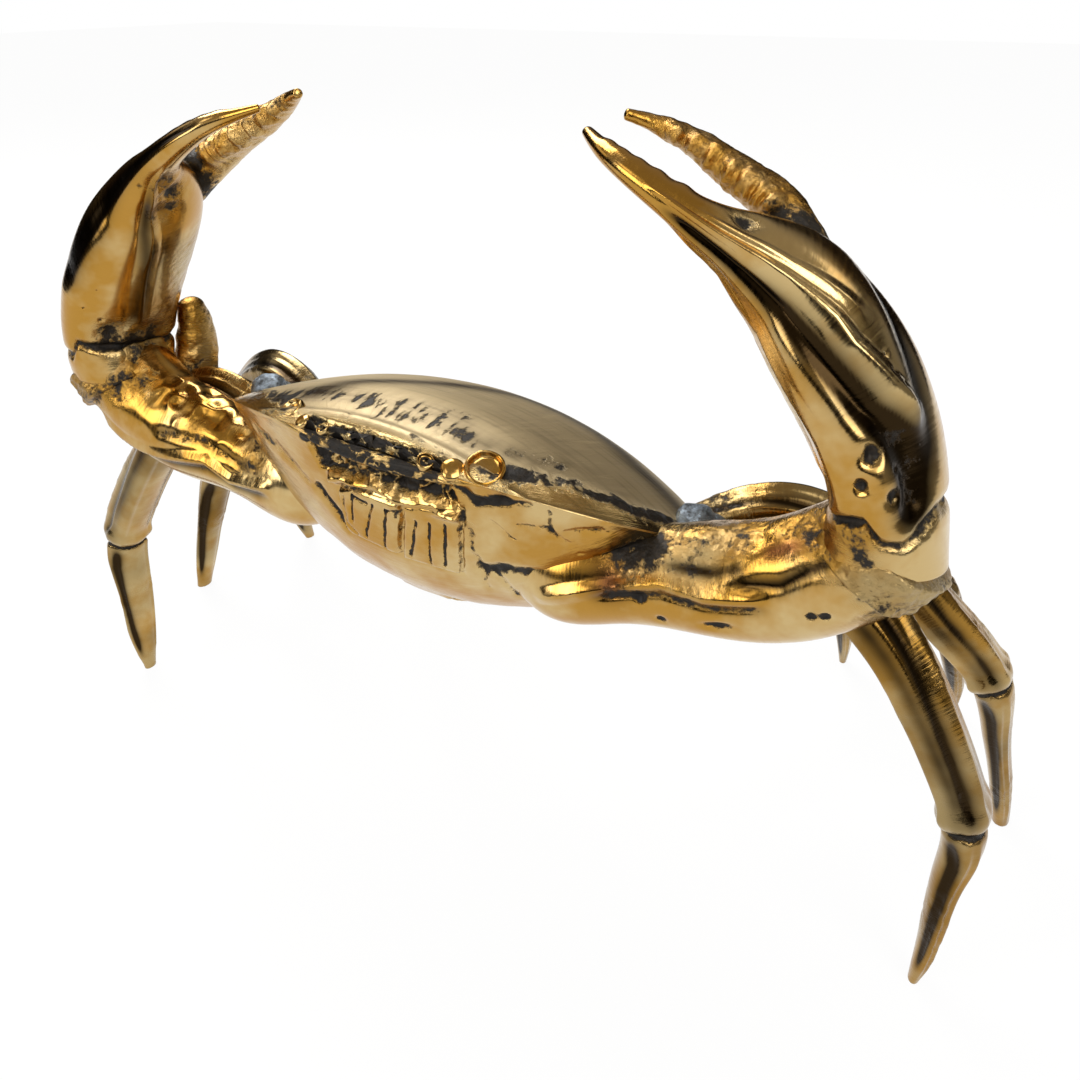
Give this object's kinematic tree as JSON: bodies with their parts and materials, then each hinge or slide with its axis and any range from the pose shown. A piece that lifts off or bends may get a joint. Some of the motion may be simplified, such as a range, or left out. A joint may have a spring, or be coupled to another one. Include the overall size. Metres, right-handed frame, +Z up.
{
  "type": "crab figurine",
  "caption": "Cast brass crab ornament standing on its leg tips with both claws raised and curved inwards",
  "frame": {"origin": "middle of the bounding box at its base, on the ground below the body", "axes": "+X is the crab's own left, -Y its front, +Z up"},
  "size_m": [0.2204, 0.1052, 0.138],
  "materials": {
    "brass": "polished",
    "wrist_braze": "matte",
    "solder": "satin"
  },
  "bodies": {
    "root": {"arm_left": "brass", "arm_right": "brass", "carapace": "brass", "claw_finger_left": "brass", "claw_finger_right": "brass", "claw_left": "brass", "claw_right": "brass", "front_leg_left": "brass", "front_leg_right": "brass", "front_leg_tip_left": "brass", "front_leg_tip_right": "brass", "rear_leg_left": "brass", "rear_leg_right": "brass", "rear_leg_tip_left": "brass", "rear_leg_tip_right": "brass", "second_leg_left": "brass", "second_leg_right": "brass", "second_leg_tip_left": "brass", "second_leg_tip_right": "brass", "shoulder_solder_left": "solder", "shoulder_solder_right": "solder", "third_leg_left": "brass", "third_leg_right": "brass", "third_leg_tip_left": "brass", "third_leg_tip_right": "brass", "underbody": "brass", "wrist_braze_left": "wrist_braze", "wrist_braze_right": "wrist_braze"}
  },
  "joints": []
}
